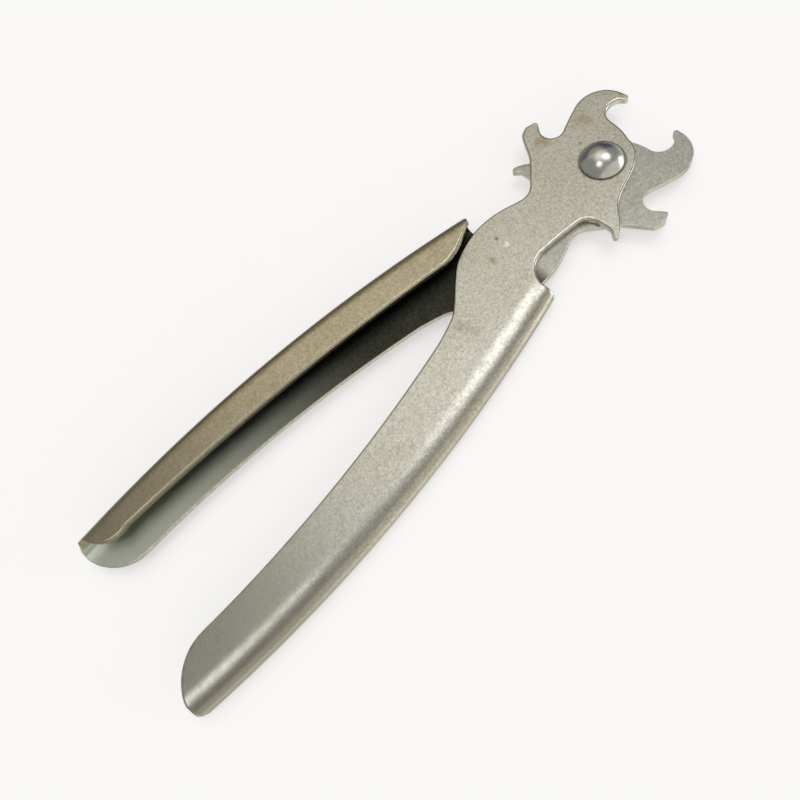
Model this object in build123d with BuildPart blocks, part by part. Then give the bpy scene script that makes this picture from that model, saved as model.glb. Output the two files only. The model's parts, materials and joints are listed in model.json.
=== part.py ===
"""Plier-type staple remover: two crossed levers pressed from sheet steel, turning on one domed rivet.

Frame: the pivot axis is Z, and the origin is the centre of the flat end of the rivet's set tail.
The jaws point along +X and the grips along -X. Both levers come from the same press tool. The rear
lever lies below the other with its hooks towards -Y; the front lever is the same pressing turned half
a turn about the long axis, so its hooks lie towards +Y. Units are millimetres.
"""
import os
from math import sqrt

from build123d import *

# Sheet and folded grip
sheet = 1.6  # thickness of the steel sheet
grip_depth = 6.4  # over the two flat faces of the folded grip
bend_radius = 2.8  # outside of both bends of the grip

# Rivet
head_radius = 4.95
head_rim = 0.3  # upright rim under the dome
head_height = 3.2  # rim and dome together
shank_radius = 3.0
tail_radius = 4.6
tail_flat_radius = 2.2  # flat left by the riveting punch
tail_height = 1.8
running_clearance = 0.05  # radial, in the lever that turns
plate_gap = 0.1  # between the two jaw plates
seat_gap = 0.05  # between the turning lever and the rivet's head

# Levels of a lever in its own frame, where Z = 0 is the plane between the two jaw plates
web_back = -plate_gap / 2 - sheet
web_inside = -plate_gap / 2
lip_inside = web_back + grip_depth - sheet
middle_z = tail_height - web_back  # height of that plane in the part's frame

# Plan of a lever, hooks towards -Y and grip towards +Y, with its corners sharp
# Nose and large hook
nose_top = (7.9, 0.9)
nose_middle = (8.9, -2.0)
nose_bottom = (9.4, -5.8)
throat_bottom = (12.4, -8.7)
throat_end = (15.6, -7.0)
hook_point = (16.4, -6.6)
hook_centre = (9.9, -8.0)
hook_radius = 7.0
# Small hook and the gullet between the hooks
gullet_centre = (0.2, -15.0)
gullet_radius = 2.8
claw_point = (-0.5, -18.9)
claw_crown = (-3.2, -20.1)
claw_heel = (-5.4, -19.2)
claw_root = (-8.8, -13.6)
# Neck, which bulges inwards before the grip starts
neck_corner = (-16.2, -6.6)
bulge_start = (-21.0, -8.3)
bulge_middle = (-30.5, -9.9)
bulge_end = (-39.5, -7.5)
crotch = (-48.9, 1.0)
# Grip, whose outer side is an arc about a point far beyond the other lever
grip_centre = (-118.0, -340.5)
grip_radius = 364.7
grip_start_x = -30.5
grip_middle_x = -86.5
grip_tip_x = -143.9
grip_inner_start = (-55.0, 3.1)
grip_inner_middle = (-92.0, 9.25)
grip_inner_end = (-133.0, 11.3)
grip_corner_middle = (-140.5, 14.2)
grip_corner_end = (-144.0, 20.0)
# Notch between grip and spur, the spur, and the front edge of the jaw
notch_end = (-30.9, 10.4)
notch_side = (-29.2, 6.9)
notch_bottom = (-24.8, 5.3)
notch_shoulder = (-12.4, 6.6)
spur_heel = (-12.1, 13.0)
spur_point = (-14.0, 15.6)
spur_root = (-6.0, 9.9)
jaw_shoulder = (3.6, 6.1)
# Rounding radius of each corner of the plan
corner_radii = {
    nose_bottom: 2.0,
    claw_point: 0.7,
    claw_crown: 1.6,
    claw_heel: 1.6,
    claw_root: 5.0,
    neck_corner: 4.0,
    bulge_end: 8.0,
    crotch: 7.0,
    grip_inner_start: 20.0,
    notch_shoulder: 3.4,
    spur_heel: 1.5,
    spur_point: 0.6,
}
# Free edge of the return lip
lip_shoulder_start = (-30.5, 12.3)
lip_shoulder_middle = (-34.6, 9.6)
lip_inner_start = (-42.0, 7.8)
lip_inner_middle = (-86.0, 14.1)
lip_inner_end = (-131.0, 17.0)
lip_corner_middle = (-138.6, 18.8)
lip_tip = (-140.6, 22.4)
lip_end_x = -141.7  # the end of the side wall slants back to here at the lip
reach = 30.0  # how far the cutting bodies extend past the lever


def grip_arc(inset, last_x=grip_tip_x):
    """Arc along the grip, a given distance inside its outer side, from its jaw end to a given X."""
    radius = grip_radius - inset
    points = []
    for x in (grip_start_x, grip_middle_x, last_x):
        rise = sqrt(radius**2 - (x - grip_centre[0]) ** 2)
        points.append((x, grip_centre[1] + rise))
    return ThreePointArc(*points)


def lever_outline():
    """Closed outline of the pressing, run from the nose round the hooks to the grip and back."""
    with BuildLine() as outline:
        # Large hook: its throat, its point and its round back
        ThreePointArc(nose_bottom, throat_bottom, throat_end)
        back = CenterArc(hook_centre, hook_radius, 5, -110)
        ThreePointArc(throat_end, hook_point, back @ 0)
        # Gullet between the hooks
        gullet = CenterArc(gullet_centre, gullet_radius, 62, 157)
        Line(back @ 1, gullet @ 0)
        Line(gullet @ 1, claw_point)
        # Small hook and the slanted edge that runs back to the neck
        Polyline(claw_point, claw_crown, claw_heel, claw_root, neck_corner, bulge_start)
        # Neck and crotch
        ThreePointArc(bulge_start, bulge_middle, bulge_end)
        Polyline(bulge_end, crotch, grip_inner_start)
        # Grip
        ThreePointArc(grip_inner_start, grip_inner_middle, grip_inner_end)
        ThreePointArc(grip_inner_end, grip_corner_middle, grip_corner_end)
        outer = grip_arc(0)
        Line(grip_corner_end, outer @ 1)
        # Notch, spur and the front edge of the jaw
        Line(outer @ 0, notch_end)
        ThreePointArc(notch_end, notch_side, notch_bottom)
        Polyline(notch_bottom, notch_shoulder, spur_heel, spur_point)
        Spline(
            spur_point, spur_root, jaw_shoulder, nose_top, tangents=[(1.0, -0.1), (0.1, -1.0)]
        )
        ThreePointArc(nose_top, nose_middle, nose_bottom)
    return outline.line


def hollow():
    """Cutting body for the space between web and lip, with everything above the jaw plate."""
    with BuildPart() as tool:
        with BuildSketch(Plane.XY.offset(web_inside)):
            with BuildLine():
                wall = grip_arc(sheet, last_x=grip_tip_x - reach)
                start = wall @ 0
                end = wall @ 1
                Polyline(
                    start,
                    (start.X, start.Y + reach),
                    (reach, start.Y + reach),
                    (reach, -reach),
                    (end.X, -reach),
                    end,
                )
            make_face()
        extrude(amount=lip_inside - web_inside)
        fillet(tool.edges().filter_by(GeomType.CIRCLE), bend_radius - sheet)
    return tool.part


def lip_trim():
    """Cutting body that leaves the crescent-shaped return lip above the hollow."""
    with BuildPart() as tool:
        with BuildSketch(Plane.XY.offset(lip_inside - sheet / 2)):
            with BuildLine():
                ThreePointArc(lip_shoulder_start, lip_shoulder_middle, lip_inner_start)
                ThreePointArc(lip_inner_start, lip_inner_middle, lip_inner_end)
                ThreePointArc(lip_inner_end, lip_corner_middle, lip_tip)
                Polyline(
                    lip_tip,
                    (grip_tip_x - reach, lip_tip[1]),
                    (grip_tip_x - reach, -reach),
                    (reach, -reach),
                    (reach, reach),
                    (lip_shoulder_start[0], reach),
                    lip_shoulder_start,
                )
            make_face()
        extrude(amount=2 * sheet)
    return tool.part


def end_trim():
    """Cutting body that slants the end of the side wall back towards the lip."""
    with BuildPart() as tool:
        with BuildSketch(Plane.XZ):
            with BuildLine():
                Polyline(
                    (grip_tip_x - sheet, web_inside),
                    (grip_tip_x, web_inside),
                    (lip_end_x, lip_inside + sheet),
                    (lip_end_x, lip_inside + 2 * sheet),
                    (grip_tip_x - sheet, lip_inside + 2 * sheet),
                    (grip_tip_x - sheet, web_inside),
                )
            make_face()
        extrude(amount=reach, both=True)
    return tool.part


def pressed_lever(bore_radius):
    """One lever in its own frame: jaw plate and web below Z = 0, lip above, hooks towards -Y."""
    with BuildPart() as lever:
        with BuildSketch(Plane.XY.offset(web_back)):
            with BuildLine():
                add(lever_outline())
            make_face()
        extrude(amount=grip_depth)
        for corner, radius in corner_radii.items():
            upright = lever.edges().filter_by(Axis.Z).sort_by_distance((*corner, 0))[0]
            fillet(upright, radius)
        bends = lever.edges().filter_by(GeomType.CIRCLE).sort_by(SortBy.LENGTH)[-2:]
        fillet(bends, bend_radius)
        add(hollow(), mode=Mode.SUBTRACT)
        add(lip_trim(), mode=Mode.SUBTRACT)
        add(end_trim(), mode=Mode.SUBTRACT)
        with Locations((0, 0, web_inside)):
            Hole(bore_radius)
    return lever.part


# The lever that lies behind, which the rivet is set fast in
with BuildPart() as rear_lever:
    with Locations((0, 0, middle_z)):
        add(pressed_lever(shank_radius))

# The same pressing turned over, which turns on the rivet
with BuildPart() as front_lever:
    with Locations(Location((0, 0, middle_z), (180, 0, 0))):
        add(pressed_lever(shank_radius + running_clearance))

# Rivet: domed head over the front lever, shank through both, tail set behind the rear lever
seat_z = middle_z - web_back + seat_gap
with BuildPart() as pivot_rivet:
    with BuildSketch(Plane.XZ):
        with BuildLine():
            Line((0, 0), (tail_flat_radius, 0))
            ThreePointArc((tail_flat_radius, 0), (3.9, 0.65), (tail_radius, tail_height))
            Polyline(
                (tail_radius, tail_height),
                (shank_radius, tail_height),
                (shank_radius, seat_z),
                (head_radius, seat_z),
                (head_radius, seat_z + head_rim),
            )
            crown_z = seat_z + head_height
            dome_rise = head_height - head_rim
            dome_radius = (head_radius**2 + dome_rise**2) / (2 * dome_rise)
            RadiusArc((head_radius, seat_z + head_rim), (0, crown_z), -dome_radius)
            Line((0, crown_z), (0, 0))
        make_face()
    revolve(axis=Axis.Z)

os.makedirs("parts", exist_ok=True)
for name, piece in (
    ("rear_lever", rear_lever),
    ("front_lever", front_lever),
    ("pivot_rivet", pivot_rivet),
):
    piece.part.label = name
    export_step(piece.part, f"parts/{name}.step")
    box = piece.part.bounding_box()
    print(name, len(piece.part.solids()), round(piece.part.volume, 1), box.min, box.max)
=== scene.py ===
"""Staple remover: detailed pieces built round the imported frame, their materials, floor, light and camera."""
import json
import math

import bmesh
import bpy
from mathutils import Matrix, Vector


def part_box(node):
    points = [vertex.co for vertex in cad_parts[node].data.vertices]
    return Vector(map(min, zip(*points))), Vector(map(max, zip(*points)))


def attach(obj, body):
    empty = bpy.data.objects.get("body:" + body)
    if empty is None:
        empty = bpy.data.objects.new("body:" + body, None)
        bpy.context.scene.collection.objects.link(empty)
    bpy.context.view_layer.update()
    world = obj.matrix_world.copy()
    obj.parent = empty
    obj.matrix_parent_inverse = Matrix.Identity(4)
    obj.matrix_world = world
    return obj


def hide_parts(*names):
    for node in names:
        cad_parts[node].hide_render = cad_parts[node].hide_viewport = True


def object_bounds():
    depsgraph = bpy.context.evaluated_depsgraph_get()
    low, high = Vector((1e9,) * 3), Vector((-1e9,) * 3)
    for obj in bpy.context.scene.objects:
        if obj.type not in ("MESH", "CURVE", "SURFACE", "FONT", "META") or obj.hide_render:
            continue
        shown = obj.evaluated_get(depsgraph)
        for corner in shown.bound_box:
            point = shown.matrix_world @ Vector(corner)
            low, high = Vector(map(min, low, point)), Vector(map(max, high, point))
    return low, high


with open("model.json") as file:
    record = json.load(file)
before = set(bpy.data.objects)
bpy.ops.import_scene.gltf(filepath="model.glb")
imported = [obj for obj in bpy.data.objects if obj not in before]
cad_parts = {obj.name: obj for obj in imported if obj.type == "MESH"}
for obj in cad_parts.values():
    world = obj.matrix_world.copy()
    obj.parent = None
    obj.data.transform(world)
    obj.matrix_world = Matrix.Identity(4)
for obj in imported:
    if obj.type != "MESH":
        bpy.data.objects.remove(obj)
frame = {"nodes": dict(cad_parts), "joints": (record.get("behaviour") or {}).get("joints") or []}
cad_lo, cad_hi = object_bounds()

MM = 0.001

# ---------------------------------------------------------------- places read from the frame
joint = frame["joints"][0]
pivot = Vector(joint["pos_m"])
rivet_lo, rivet_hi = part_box("pivot_rivet")
rear_back_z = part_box("rear_lever")[0].z
front_face_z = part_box("front_lever")[1].z
floor_z = cad_lo.z
grip_tip_x = cad_lo.x


# ---------------------------------------------------------------- camera
def make_camera():
    """Camera at the photograph's viewing angle."""
    right = Vector((0.7063088, -0.67013687, -0.22813254))
    up = Vector((0.70393476, 0.63079979, 0.32644674))
    back = right.cross(up)
    data = bpy.data.cameras.new("camera")
    data.sensor_width = 36.0
    data.lens = 690.037 / 800 * 36.0
    data.shift_x = 0.014375
    data.shift_y = -0.025
    data.clip_start = 0.005
    data.clip_end = 50.0
    camera = bpy.data.objects.new("camera", data)
    bpy.context.scene.collection.objects.link(camera)
    turn = Matrix((right, up, back)).transposed().to_4x4()
    camera.matrix_world = Matrix.Translation((-0.08015, -0.05955, 0.1421)) @ turn
    bpy.context.scene.camera = camera


make_camera()


# ---------------------------------------------------------------- node helpers
class Nodes:
    """Short calls for building one material's or world's node tree."""

    def __init__(self, tree):
        self.tree = tree
        tree.nodes.clear()

    def add(self, kind, inputs=None, **settings):
        node = self.tree.nodes.new(kind)
        for key, value in settings.items():
            setattr(node, key, value)
        for key, value in (inputs or {}).items():
            if isinstance(value, bpy.types.NodeSocket):
                self.tree.links.new(value, node.inputs[key])
            else:
                node.inputs[key].default_value = value
        return node

    def math(self, operation, a, b=0.0, clamp=False):
        return self.add("ShaderNodeMath", {0: a, 1: b}, operation=operation, use_clamp=clamp).outputs[0]

    def vector(self, operation, a, b=(0, 0, 0)):
        node = self.add("ShaderNodeVectorMath", {0: a, 1: b}, operation=operation)
        scalar = operation in ("DOT_PRODUCT", "LENGTH", "DISTANCE")
        return node.outputs["Value" if scalar else "Vector"]

    def ramp(self, value, lo, hi, out_lo=0.0, out_hi=1.0):
        """Smooth step of value from lo to hi, as out_lo to out_hi."""
        inputs = {"Value": value, "From Min": lo, "From Max": hi, "To Min": out_lo, "To Max": out_hi}
        node = self.add("ShaderNodeMapRange", inputs, interpolation_type="SMOOTHSTEP", clamp=True)
        return node.outputs["Result"]

    def noise(self, where, scale, detail=3.0, roughness=0.5, distortion=0.0):
        inputs = {
            "Vector": where,
            "Scale": scale,
            "Detail": detail,
            "Roughness": roughness,
            "Distortion": distortion,
        }
        return self.add("ShaderNodeTexNoise", inputs).outputs["Fac"]

    def mix(self, factor, a, b, blend="MIX"):
        node = self.add("ShaderNodeMix", data_type="RGBA", blend_type=blend, clamp_factor=True)
        for index, value in ((0, factor), (6, a), (7, b)):
            if isinstance(value, bpy.types.NodeSocket):
                self.tree.links.new(value, node.inputs[index])
            elif index:
                node.inputs[index].default_value = (*value, 1.0)
            else:
                node.inputs[index].default_value = value
        return node.outputs[2]

    def attribute(self, name):
        return self.add("ShaderNodeAttribute", attribute_name=name).outputs["Fac"]

    def bump(self, height, strength, distance, normal=None):
        inputs = {"Height": height, "Strength": strength, "Distance": distance}
        if normal is not None:
            inputs["Normal"] = normal
        return self.add("ShaderNodeBump", inputs).outputs["Normal"]


def new_material(name):
    material = bpy.data.materials.new(name)
    material.use_nodes = True
    return material, Nodes(material.node_tree)


# ---------------------------------------------------------------- materials
def plated_steel(name, seed, spot_marks):
    """Satin nickel plating: mottled and grainy, with dull, dirty recesses that carry painted shade, a painted
    shadow ring round the rivet, worn edges and a few small spots.
    """
    material, n = new_material(name)
    where = n.add("ShaderNodeTexCoord").outputs["Object"]
    shifted = n.vector("ADD", where, (seed, 2 * seed, 3 * seed))
    along = n.add("ShaderNodeSeparateXYZ", {0: where}).outputs["X"]
    inner = n.attribute("inner")
    rim = n.attribute("rim")

    lip = n.attribute("lip")
    clouds = n.noise(shifted, 90.0, 3.0, 0.55)
    mottle = n.noise(shifted, 620.0, 4.0, 0.6)
    grain = n.noise(shifted, 1900.0, 2.5, 0.6)

    tone = n.mix(n.ramp(clouds, 0.35, 0.65), (0.615, 0.59, 0.50), (0.64, 0.625, 0.565))
    tone = n.mix(n.ramp(mottle, 0.42, 0.72, 0.0, 0.22), tone, (0.47, 0.44, 0.35))
    tone = n.mix(n.ramp(grain, 0.50, 0.70, 0.0, 0.60), tone, (0.38, 0.365, 0.31))
    tone = n.mix(n.ramp(grain, 0.50, 0.32, 0.0, 0.60), tone, (0.82, 0.81, 0.77))

    # the ends of the grips are duller, the folded lip is tarnished and the hidden face is greyer
    end = n.ramp(along, grip_tip_x + 0.016, grip_tip_x + 0.062, 1.0, 0.0)
    end = n.math("MULTIPLY", end, n.ramp(lip, 0.0, 1.0, 0.85, 0.50))
    tone = n.mix(end, tone, (0.42, 0.405, 0.355))
    tone = n.mix(lip, tone, n.mix(1.0, tone, (0.82, 0.74, 0.60), "MULTIPLY"))
    hidden = n.math("MULTIPLY", inner, n.ramp(along, -0.029, -0.024))
    tone = n.mix(hidden, tone, n.mix(1.0, tone, (0.82, 0.835, 0.87), "MULTIPLY"))

    # dull, dirty inside of the channel, with painted shade: it darkens to near black towards where it closes
    # against the other lever
    far = n.ramp(along, grip_tip_x + 0.004, grip_tip_x + 0.080)
    in_channel = n.ramp(along, -0.031, -0.026, 1.0, 0.0)
    recess = n.math("MULTIPLY", inner, in_channel)
    dirt_and_shade_tone = n.mix(far, (0.62, 0.65, 0.57), (0.034, 0.035, 0.028))
    dirt_and_shade = n.math("MULTIPLY", recess, n.ramp(grain, 0.35, 0.7, 1.0, 0.94))
    tone = n.mix(dirt_and_shade, tone, dirt_and_shade_tone)

    # worn rims
    worn = n.math("MULTIPLY", rim, n.ramp(mottle, 0.3, 0.6, 0.25, 0.9))
    worn = n.math("MULTIPLY", worn, n.math("SUBTRACT", 1.0, n.math("MULTIPLY", recess, 0.7)))
    worn = n.math("MULTIPLY", worn, n.ramp(lip, 0.0, 1.0, 1.0, 0.15))
    tone = n.mix(worn, tone, (0.74, 0.71, 0.63))

    # painted shade: a dark shadow ring in the crevice round the rivet's head
    flat_place = n.vector("MULTIPLY", where, (1, 1, 0))
    axle = n.vector("DISTANCE", flat_place, (pivot.x, pivot.y, 0.0))
    tone = n.mix(n.ramp(axle, 0.0050, 0.0056, 0.75, 0.0), tone, (0.10, 0.09, 0.07))

    # small spots: brown and grey tarnish stains, a dark speck and a near-white spot
    for place, size, strength, colour in spot_marks:
        distance = n.vector("DISTANCE", where, (place[0] * MM, place[1] * MM, front_face_z))
        wobble = n.math("MULTIPLY", n.math("SUBTRACT", mottle, 0.5), size * 2.4)
        spot = n.ramp(n.math("ADD", distance, wobble), size * 0.25, size, strength, 0.0)
        tone = n.mix(spot, tone, colour)

    rough = n.ramp(clouds, 0.3, 0.7, 0.305, 0.275)
    rough = n.math("ADD", rough, n.ramp(mottle, 0.35, 0.75, -0.01, 0.05))
    rough = n.math("ADD", rough, n.math("MULTIPLY", recess, 0.16))
    rough = n.math("SUBTRACT", rough, n.math("MULTIPLY", worn, 0.06))

    waves = n.bump(n.noise(shifted, 45.0, 1.5, 0.4), 0.30, 0.0005)
    pits = n.bump(mottle, 0.14, 0.00014, waves)
    fine = n.bump(grain, 0.30, 0.00006, pits)

    shader = n.add(
        "ShaderNodeBsdfPrincipled",
        {"Base Color": tone, "Roughness": rough, "Normal": fine, "Metallic": 1.0},
    )
    n.add("ShaderNodeOutputMaterial", {"Surface": shader.outputs[0]})
    return material


def polished_steel():
    """Bright rivet: a polished dome with faint hammering and fine rubbing marks."""
    material, n = new_material("polished_rivet_steel")
    where = n.add("ShaderNodeTexCoord").outputs["Object"]
    clouds = n.noise(where, 260.0, 2.0, 0.5)
    specks = n.noise(where, 2600.0, 3.0, 0.6)
    tone = n.mix(n.ramp(clouds, 0.35, 0.7), (0.80, 0.80, 0.80), (0.70, 0.69, 0.66))
    tone = n.mix(n.ramp(specks, 0.62, 0.78, 0.0, 0.5), tone, (0.36, 0.35, 0.33))
    rough = n.ramp(clouds, 0.3, 0.7, 0.20, 0.26)
    rough = n.math("ADD", rough, n.ramp(specks, 0.55, 0.8, 0.0, 0.15))
    facets = n.bump(n.noise(where, 420.0, 1.0, 0.4), 0.25, 0.00025)
    fine = n.bump(specks, 0.15, 0.00004, facets)
    shader = n.add(
        "ShaderNodeBsdfPrincipled",
        {"Base Color": tone, "Roughness": rough, "Normal": fine, "Metallic": 1.0},
    )
    n.add("ShaderNodeOutputMaterial", {"Surface": shader.outputs[0]})
    return material


# ---------------------------------------------------------------- lever pieces
def link(name, mesh, material):
    piece = bpy.data.objects.new(name, mesh)
    bpy.context.scene.collection.objects.link(piece)
    mesh.materials.clear()
    mesh.materials.append(material)
    return piece


# A lever is made here the way it is pressed, in mm and in the lever's own plan, with its grip towards +Y: a
# flat blank is cut, its edges roll over, and the grip's side is folded up and back along an arc.
REAR, FRONT = 1, -1  # the front lever is the same pressing turned over
ARC_CENTRE = Vector((-118.0, -340.5))
ARC_RADIUS = 364.7
SHEET = 1.6
BEND = 2.8  # outside radius of both bends
DEPTH = 6.4  # over the two flat faces of the folded grip
WEB_BACK = 1.65  # from the pivot's middle plane to the web's outer face
QUARTER = BEND * math.pi / 2
WALL = DEPTH - 2 * BEND
FOLDED_X = -27.0  # everything that is folded lies beyond this X in the blank
JAW_END_X = -30.5  # the fold's end at the notch, and how far it slants per mm of inset
JAW_END_SLANT = 0.127
TIP_X = -143.9  # the fold's end at the grip's tip
TIP_SLANT = 0.03
TIP_LIP_X = -141.7  # where the slanted end of the side wall reaches the lip
LIP_JAW_CURVE = ((-30.65, 12.2), (-34.6, 9.6), (-42.0, 7.8))  # free edge of the lip, in three arcs
LIP_SIDE_CURVE = ((-42.0, 7.8), (-86.0, 14.1), (-131.0, 17.0))
LIP_TIP_CURVE = ((-131.0, 17.0), (-138.6, 18.8), (-140.6, 22.4))
LIP_JAW_Y = 12.3  # where the fold's two ends run into that edge
LIP_TIP_Y = 22.4
FOLD_STEP = 0.5
SHOULDER = 9.0  # radius of the slack shoulder of the web, before the tight part of the bend
SHOULDER_TURN = math.radians(28)
TIGHT = 2.4  # radius of what is left of the bend
ROLL = 0.60  # width and height of the edges rolled over on the outer side, where the punch came from
ROLL_HEIGHT = 0.42
BURR = 0.14  # rubbed edge on the inner side
BORE_EDGE = 0.12
SLICE_X = (-143.0, -27.5, 1.5)  # first, last and spacing of the rows that let the blank bend
SLICE_Y = (8.0, 36.0, 0.5)
SINK_DEPTH = (5.0, 2.4)  # depths where the shoulder is gone and where it is full
SINK_START = (-27.0, -36.5)  # X where the shoulder starts and where it is full
LEVEL_INSIDE = (-62.0, -52.0)  # X where the inner face starts to stay level, and where it is level


def sink(inset):
    """How far the web's outer face sinks at a distance inside the grip's outer side."""
    inset = max(inset, 0.0)
    start = SHOULDER * math.sin(SHOULDER_TURN) + TIGHT * (1 - math.sin(SHOULDER_TURN))
    turn = TIGHT * (1 - math.sin(SHOULDER_TURN))
    if inset > start:
        return 0.0
    if inset > turn:
        new = SHOULDER - math.sqrt(SHOULDER**2 - (start - inset) ** 2)
    else:
        foot = SHOULDER * (1 - math.cos(SHOULDER_TURN)) + TIGHT * math.cos(SHOULDER_TURN)
        new = foot - math.sqrt(max(TIGHT**2 - (TIGHT - inset) ** 2, 0.0))
    old = 0.0 if inset > BEND else BEND - math.sqrt(max(BEND**2 - (BEND - inset) ** 2, 0.0))
    return new - old


def smooth(value, lo, hi):
    t = min(max((value - lo) / (hi - lo), 0.0), 1.0)
    return t * t * (3 - 2 * t)


def section(strip):
    """Inset and depth of the outer face, and the direction into the sheet, for a strip of the flat blank."""
    run = BEND - strip
    if run <= 0:
        return strip, 0.0, 0.0, 1.0
    if run < QUARTER:
        a = run / BEND
        return BEND * (1 - math.sin(a)), BEND * (1 - math.cos(a)), math.sin(a), math.cos(a)
    run -= QUARTER
    if run < WALL:
        return 0.0, BEND + run, 1.0, 0.0
    run -= WALL
    if run < QUARTER:
        a = run / BEND
        return BEND * (1 - math.cos(a)), BEND + WALL + BEND * math.sin(a), math.cos(a), -math.sin(a)
    return BEND + run - QUARTER, DEPTH, 0.0, -1.0


def on_blank(plan, strip):
    """Place in the blank of a point seen in plan, once it is known which strip it belongs to."""
    return ARC_CENTRE + (Vector(plan) - ARC_CENTRE).normalized() * (ARC_RADIUS - strip)


def lip_strip(plan):
    inset = max(ARC_RADIUS - (Vector(plan) - ARC_CENTRE).length, 0.0)
    if inset < BEND:
        return BEND - QUARTER - WALL - BEND * math.acos(1 - inset / BEND)
    return -2 * QUARTER - WALL + 2 * BEND - inset


def arc_through(a, b, c, step=0.9):
    """Points along the arc from a through b to c."""
    a, b, c = Vector(a), Vector(b), Vector(c)
    d = 2 * (a.x * (b.y - c.y) + b.x * (c.y - a.y) + c.x * (a.y - b.y))
    aa, bb, cc = a.length_squared, b.length_squared, c.length_squared
    centre = Vector(
        (
            (aa * (b.y - c.y) + bb * (c.y - a.y) + cc * (a.y - b.y)) / d,
            (aa * (c.x - b.x) + bb * (a.x - c.x) + cc * (b.x - a.x)) / d,
        )
    )
    start = math.atan2(a.y - centre.y, a.x - centre.x)
    sweep = math.atan2(c.y - centre.y, c.x - centre.x) - start
    if (b - a).cross(c - b) > 0:
        sweep %= 2 * math.pi
    else:
        sweep = -((-sweep) % (2 * math.pi))
    radius = (a - centre).length
    count = max(2, int(abs(sweep) * radius / step))
    spots = [start + sweep * i / count for i in range(count + 1)]
    return [centre + radius * Vector((math.cos(s), math.sin(s))) for s in spots]


def web_loops(node, side):
    """Outline and bore of the web's flat outer face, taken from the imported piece, in the lever's own plan."""
    bm = bmesh.new()
    bm.from_mesh(frame["nodes"][node].data)
    bmesh.ops.remove_doubles(bm, verts=bm.verts, dist=4e-6)
    level = pivot.z - side * WEB_BACK * MM
    flat = set(f for f in bm.faces if all(abs(v.co.z - level) < 0.01 * MM for v in f.verts))
    follow = {}
    for f in flat:
        for loop in f.loops:
            if sum(1 for other in loop.edge.link_faces if other in flat) == 1:
                follow[loop.vert.index] = loop.link_loop_next.vert.index
    bm.verts.ensure_lookup_table()
    loops = []
    while follow:
        first, nxt = next(iter(follow.items()))
        ring = [first]
        while nxt != first:
            ring.append(nxt)
            nxt = follow.pop(ring[-1])
        follow.pop(first, None)
        loops.append([Vector((bm.verts[i].co.x / MM, bm.verts[i].co.y * side / MM)) for i in ring])
    bm.free()
    loops.sort(key=len, reverse=True)
    return loops[0], loops[-1]


def area(points):
    return sum(p.x * q.y - q.x * p.y for p, q in zip(points, points[1:] + points[:1])) / 2


def turn_at(points, i):
    a = points[i] - points[i - 1]
    b = points[(i + 1) % len(points)] - points[i]
    return math.atan2(a.x * b.y - a.y * b.x, a.dot(b))


def thin_out(points, least):
    """Drops points that crowd their neighbours, but keeps the corners."""
    kept = []
    for i, p in enumerate(points):
        if kept and (p - kept[-1]).length < least and abs(turn_at(points, i)) < math.radians(20):
            continue
        if kept and (p - kept[-1]).length < 0.02:
            continue
        kept.append(p)
    return kept


def soften(points):
    """Curves run smoothly through the points between corners, and each corner gets a small radius."""
    corner = [abs(turn_at(points, i)) > math.radians(26) for i in range(len(points))]
    out, tight = [], []
    count = len(points)
    for i in range(count):
        p0, p1, p2, p3 = (points[(i + k) % count] for k in (-1, 0, 1, 2))
        length = (p2 - p1).length
        if corner[i]:
            convex = turn_at(points, i) > math.radians(50)
            back = min(0.28, 0.35 * (p1 - p0).length)
            ahead = min(0.28, 0.35 * length)
            a = p1 + (p0 - p1).normalized() * back
            b = p1 + (p2 - p1).normalized() * ahead
            for k in range(5):
                s = k / 4
                out.append(a * (1 - s) ** 2 + p1 * 2 * s * (1 - s) + b * s**2)
                tight.append(convex)
        else:
            out.append(p1)
            tight.append(False)
        before = p1 - p0 if not corner[i] else p2 - p1
        after = p3 - p2 if not corner[(i + 1) % count] else p2 - p1
        bends = max(before.angle(p2 - p1), after.angle(p2 - p1))
        pieces = int(length / 0.6) if bends > math.radians(0.6) else int(length / 4)
        # Hermite curve whose end slopes are those of the chords next to it
        m1 = ((p2 - p1).normalized() + before.normalized()).normalized() * length
        m2 = ((p2 - p1).normalized() + after.normalized()).normalized() * length
        for k in range(1, pieces):
            s = k / pieces
            if corner[i] and s * length < 0.4 or corner[(i + 1) % count] and (1 - s) * length < 0.4:
                continue
            h1, h2 = 2 * s**3 - 3 * s**2 + 1, -2 * s**3 + 3 * s**2
            out.append(h1 * p1 + h2 * p2 + (s**3 - 2 * s**2 + s) * m1 + (s**3 - s**2) * m2)
            tight.append(False)
    return out, tight


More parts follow.
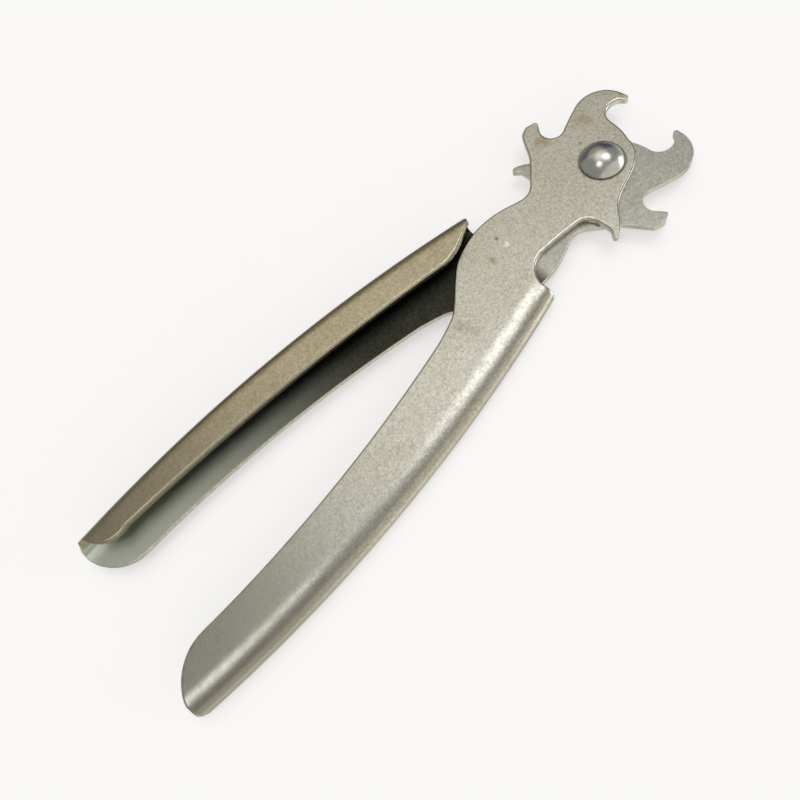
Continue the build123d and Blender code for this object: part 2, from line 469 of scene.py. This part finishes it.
def blank_outline(web):
    """Closed outline of the flat blank: the web's own outline, then the folded side laid flat."""

    def is_fold(p):
        return p.x < JAW_END_X + 0.2 and p.y > 5 and ARC_RADIUS - (p - ARC_CENTRE).length < BEND + 0.03

    count = len(web)
    after = next(i for i in range(count) if is_fold(web[i - 1]) and not is_fold(web[i]))
    web = web[after:] + web[:after]
    kept = [p for p in web if not is_fold(p)]

    def edge_point(run, end_x):
        inset, depth = section(BEND - run)[:2]
        x = end_x(inset, depth)
        y = ARC_CENTRE.y + math.sqrt((ARC_RADIUS - inset) ** 2 - (x - ARC_CENTRE.x) ** 2)
        return Vector((x, y)), on_blank((x, y), BEND - run)

    def jaw_x(inset, depth):
        return JAW_END_X - JAW_END_SLANT * inset

    def tip_x(inset, depth):
        rise = max(depth - SHEET, 0.0) / (DEPTH - SHEET)
        return TIP_X - TIP_SLANT * inset + (TIP_LIP_X - TIP_X) * rise

    def fold_end(end_x, last_y):
        """Points of one end of the fold, from the web round to where the lip's free edge begins."""
        points, run = [], 0.0
        while True:
            plan, flat = edge_point(run, end_x)
            if run > QUARTER + WALL and plan.y < last_y:
                return points
            points.append(flat)
            run += FOLD_STEP

    lip = arc_through(*LIP_JAW_CURVE) + arc_through(*LIP_SIDE_CURVE)[1:] + arc_through(*LIP_TIP_CURVE)[1:]
    free_edge = [on_blank(p, lip_strip(p)) for p in lip]
    return kept + fold_end(jaw_x, LIP_JAW_Y) + free_edge + fold_end(tip_x, LIP_TIP_Y)[::-1]


def ring_of(points, tight, width, height, segments, level, way):
    """Offsets and levels of one rolled edge: rows of points from the cut edge to the flat face."""
    count = len(points)
    inward = []
    for i in range(count):
        a = (points[i] - points[i - 1]).normalized()
        b = (points[(i + 1) % count] - points[i]).normalized()
        n = Vector((-(a.y + b.y), a.x + b.x)).normalized()
        inward.append(n / max(math.sqrt((1 + a.dot(b)) / 2), 0.6))
    sharp = []
    for i in range(count):
        stride = (points[i] - points[i - 1]).length + (points[(i + 1) % count] - points[i]).length
        if tight[i] or turn_at(points, i) > 0.5 * stride / 1.1:
            sharp.append(points[i])
    rows = []
    for k in range(segments + 1):
        angle = math.pi / 2 * k / segments
        row = []
        for i in range(count):
            room = min([(points[i] - s).length for s in sharp], default=9.0)
            share = min(1.0, (0.10 + 0.36 * room) / width)
            shift = width * share * (1 - math.cos(angle))
            rise = height * share * (1 - math.sin(angle))
            p = points[i] + inward[i] * shift
            row.append((p.x, p.y, level + way * rise))
        rows.append(row)
    return rows


def flat_blank(outline, bore):
    """The blank as a closed mesh lying flat, outer face down, with its edges rolled over."""
    bm = bmesh.new()
    inner_layer = bm.faces.layers.float.new("inner")
    rim_layer = bm.faces.layers.float.new("rim")
    lower_edges, upper_edges = [], []
    for points, tight, width, height in outline, bore:
        rows = ring_of(points, tight, width, height, 5, 0.0, 1)[::-1]
        rows += ring_of(points, tight, BURR, BURR, 3, SHEET, -1)
        rings = [[bm.verts.new(p) for p in row] for row in rows]
        count = len(points)
        for below, above in zip(rings, rings[1:]):
            for i in range(count):
                j = (i + 1) % count
                f = bm.faces.new((below[i], below[j], above[j], above[i]))
                f[rim_layer] = 1.0
        for edges, ring in (lower_edges, rings[0]), (upper_edges, rings[-1]):
            edges += [bm.edges.get((ring[i], ring[(i + 1) % count])) for i in range(count)]
    for edges, up, inner in (lower_edges, -1, 0.0), (upper_edges, 1, 1.0):
        filled = bmesh.ops.triangle_fill(
            bm, use_beauty=True, use_dissolve=False, edges=edges, normal=(0, 0, up)
        )
        for f in filled["geom"]:
            if isinstance(f, bmesh.types.BMFace):
                f[inner_layer] = inner
    return bm


def slice_evenly(bm, axis, lo, hi, step):
    """Adds rows of vertices across every face, so that the flat blank can bend."""
    normal = [0.0, 0.0, 0.0]
    normal[axis] = 1.0
    for i in range(int((hi - lo) / step) + 1):
        place = [0.0, 0.0, 0.0]
        place[axis] = lo + i * step
        geometry = bm.verts[:] + bm.edges[:] + bm.faces[:]
        bmesh.ops.bisect_plane(bm, geom=geometry, dist=0.02, plane_co=place, plane_no=normal)


def detailed_lever(node, body, side, material):
    """One pressing, folded from its blank."""
    web, hole = web_loops(node, side)
    if area(web) < 0:
        web.reverse()
    if area(hole) > 0:
        hole.reverse()
    outline, tight = soften(thin_out(blank_outline(web), 0.25))
    bore = (hole, [False] * len(hole), BORE_EDGE, BORE_EDGE)
    bm = flat_blank((outline, tight, ROLL, ROLL_HEIGHT), bore)
    slice_evenly(bm, 0, *SLICE_X)
    slice_evenly(bm, 1, *SLICE_Y)
    inner_layer = bm.faces.layers.float["inner"]
    lip_layer = bm.faces.layers.float.new("lip")
    for f in bm.faces:
        x, y, t = f.calc_center_median()
        strip = ARC_RADIUS - (Vector((x, y)) - ARC_CENTRE).length
        on_lip = strip < BEND - QUARTER - WALL - 1.5 and x < FOLDED_X
        f[lip_layer] = 1.0 if on_lip and not f[inner_layer] else 0.0
    for v in bm.verts:
        x, y, t = v.co
        plan = Vector((x, y)) - ARC_CENTRE
        strip = ARC_RADIUS - plan.length
        depth = t
        if strip < BEND and ARC_CENTRE.x + ARC_RADIUS * plan.normalized().x < JAW_END_X + 1:
            inset, depth, into_x, into_z = section(strip)
            inset += t * into_x
            depth += t * into_z
            x, y = ARC_CENTRE + plan.normalized() * (ARC_RADIUS - inset)
        inset = ARC_RADIUS - (Vector((x, y)) - ARC_CENTRE).length
        # the inner face stays level where the other lever's neck slides along it
        share = 1.0 - smooth(x, *LEVEL_INSIDE) * t / SHEET
        depth += sink(inset) * smooth(depth, *SINK_DEPTH) * smooth(x, *SINK_START) * share
        v.co = (x * MM, y * side * MM, pivot.z + (depth - WEB_BACK) * side * MM)
    bmesh.ops.recalc_face_normals(bm, faces=bm.faces)
    for f in bm.faces:
        f.smooth = True
    mesh = bpy.data.meshes.new(node + "_pressing")
    bm.to_mesh(mesh)
    bm.free()
    piece = link(node + "_pressing", mesh, material)
    weighted = piece.modifiers.new("weighted", "WEIGHTED_NORMAL")
    weighted.weight = 60
    weighted.keep_sharp = False
    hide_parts(node)
    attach(piece, body)


BROWN = (0.38, 0.26, 0.09)
GREY = (0.40, 0.385, 0.33)
# place in plan (mm), radius (m), strength, colour
SPOT_MARKS = [
    ((-4.0, 13.9), 0.0024, 0.50, BROWN),
    ((5.9, 10.6), 0.0026, 0.42, BROWN),
    ((0.7, 7.0), 0.0008, 0.70, BROWN),
    ((-33.8, 1.4), 0.0012, 0.60, BROWN),
    ((-29.3, 4.7), 0.0007, 0.90, (0.16, 0.15, 0.12)),
    ((-28.6, 1.8), 0.0010, 0.95, (0.97, 0.96, 0.93)),
    ((-49.8, -3.4), 0.0017, 0.50, GREY),
    ((-49.0, -5.6), 0.0019, 0.50, GREY),
    ((-48.2, -7.8), 0.0016, 0.45, GREY),
]
front_metal = plated_steel("plated_steel_front", 0.0, SPOT_MARKS)
rear_metal = plated_steel("plated_steel_rear", 0.37, [])
detailed_lever("front_lever", "front", FRONT, front_metal)
detailed_lever("rear_lever", "rear", REAR, rear_metal)


# ---------------------------------------------------------------- rivet piece
SHANK_RADIUS = 3.0
HEAD_RIM = 0.3  # upright rim under the dome
SEAT_GAP = 0.05  # between the front lever and the head
# radius and height of the tail's round side, from the hollow that the punch left
TAIL_PROFILE = (
    (0.7, 0.24),
    (1.3, 0.17),
    (1.8, 0.05),
    (2.05, 0.0),
    (2.3, 0.02),
    (3.0, 0.26),
    (3.6, 0.52),
    (4.1, 0.86),
    (4.42, 1.25),
    (4.56, 1.6),
)


def lathe(name, profile, segments, material):
    """Closed solid of revolution about the pivot axis; its (radius, z) points start and end on the axis."""
    bm = bmesh.new()
    rings = []
    for radius, z in profile:
        if radius < 1e-7:
            rings.append([bm.verts.new((pivot.x, pivot.y, z))])
            continue
        ring = []
        for i in range(segments):
            a = 2 * math.pi * i / segments
            x, y = pivot.x + radius * math.cos(a), pivot.y + radius * math.sin(a)
            ring.append(bm.verts.new((x, y, z)))
        rings.append(ring)
    for lower, upper in zip(rings, rings[1:]):
        for i in range(segments):
            j = (i + 1) % segments
            corners = [lower[i % len(lower)], lower[j % len(lower)]]
            corners += [upper[j % len(upper)], upper[i % len(upper)]]
            bm.faces.new(list(dict.fromkeys(corners)))
    bmesh.ops.recalc_face_normals(bm, faces=bm.faces)
    for f in bm.faces:
        f.smooth = True
    mesh = bpy.data.meshes.new(name)
    bm.to_mesh(mesh)
    bm.free()
    return link(name, mesh, material)


def detailed_rivet(material):
    head_radius = rivet_hi.x - pivot.x
    top = rivet_hi.z
    bottom = rivet_lo.z
    seat = front_face_z + SEAT_GAP * MM
    rim = HEAD_RIM * MM
    rise = top - seat - rim
    ball = (head_radius**2 + rise**2) / (2 * rise)
    profile = [(0.0, bottom + 0.25 * MM)]
    for r, z in TAIL_PROFILE:
        profile.append((r * MM, bottom + z * MM))
    profile.append((4.58 * MM, rear_back_z))
    profile += [
        (SHANK_RADIUS * MM, rear_back_z),
        (SHANK_RADIUS * MM, seat),
        (head_radius - 0.12 * MM, seat),
    ]
    profile += [(head_radius - 0.03 * MM, seat + 0.05 * MM), (head_radius, seat + 0.14 * MM)]
    profile += [(head_radius - 0.02 * MM, seat + 0.26 * MM)]
    edge = math.asin(head_radius / ball)
    steps = 26
    for i in range(1, steps):
        a = edge * (1 - i / steps)
        profile.append((ball * math.sin(a), top - ball * (1 - math.cos(a))))
    profile.append((0.0, top))
    piece = lathe("pivot_rivet_detailed", profile, 96, material)
    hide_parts("pivot_rivet")
    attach(piece, "rear")


detailed_rivet(polished_steel())


# ---------------------------------------------------------------- floor
def make_floor():
    bm = bmesh.new()
    bmesh.ops.create_circle(bm, cap_ends=True, radius=6.0, segments=96)
    mesh = bpy.data.meshes.new("floor")
    bm.to_mesh(mesh)
    bm.free()
    material, n = new_material("pale_floor")
    shader = n.add(
        "ShaderNodeBsdfPrincipled",
        {
            "Base Color": (0.86, 0.86, 0.885, 1.0),
            "Roughness": 0.9,
            "Specular IOR Level": 0.1,
            "Emission Color": (1.0, 0.99, 1.0, 1.0),
            "Emission Strength": 0.46,
        },
    )
    n.add("ShaderNodeOutputMaterial", {"Surface": shader.outputs[0]})
    floor = link("floor", mesh, material)
    floor.location.z = floor_z - 0.05 * MM  # a hair below, so that the lip and the floor don't coincide
    floor.visible_glossy = False


make_floor()


# ---------------------------------------------------------------- light
def make_world():
    """Studio surround: soft bright patches, one dark side, and a plain pale backdrop for the camera."""
    world = bpy.data.worlds.new("studio")
    world.use_nodes = True
    bpy.context.scene.world = world
    n = Nodes(world.node_tree)
    toward = n.vector("NORMALIZE", n.add("ShaderNodeTexCoord").outputs["Generated"])
    dark = n.vector("DOT_PRODUCT", toward, (0.51, 0.86, 0.0))
    dark = n.ramp(dark, math.cos(math.radians(54)), math.cos(math.radians(36)))
    colour = n.mix(dark, (0.27, 0.27, 0.25), (0.05, 0.06, 0.085))
    for direction, outer, inner, tint in SOFT_LIGHTS:
        aim = Vector(direction).normalized()
        near = n.vector("DOT_PRODUCT", toward, tuple(aim))
        amount = n.ramp(near, math.cos(math.radians(outer)), math.cos(math.radians(inner)))
        colour = n.mix(1.0, colour, n.mix(amount, (0, 0, 0), tint), "ADD")
    # the backdrop itself is plain and pale
    seen = n.add("ShaderNodeLightPath").outputs["Is Camera Ray"]
    colour = n.mix(seen, colour, (0.94, 0.935, 0.94))
    shade = n.add("ShaderNodeBackground", {"Color": colour, "Strength": 1.0})
    n.add("ShaderNodeOutputWorld", {"Surface": shade.outputs[0]})


# direction, degrees from it where the patch fades out, degrees where it is full, colour
SOFT_LIGHTS = [
    ((0.32, -0.05, 0.94), 20, 7, (1.7, 1.7, 1.7)),
    ((-0.38, -0.06, 0.92), 13, 4, (2.7, 2.7, 2.7)),
    ((0.34, 0.26, 0.90), 28, 10, (0.29, 0.285, 0.265)),
    ((-0.05, 0.33, 0.94), 19, 7, (0.50, 0.50, 0.48)),
    ((0.25, 0.75, 0.61), 38, 12, (0.26, 0.23, 0.15)),
    ((0.0, -1.0, -0.10), 60, 52, (0.35, 0.32, 0.26)),
    ((0.0, 0.0, -1.0), 88, 78, (0.29, 0.275, 0.235)),
    ((0.80, -0.56, -0.20), 25, 13, (1.7, 1.7, 1.7)),
    ((0.84, -0.52, 0.12), 13, 5, (1.6, 1.6, 1.6)),
]
make_world()
bpy.context.scene.view_settings.view_transform = "Standard"
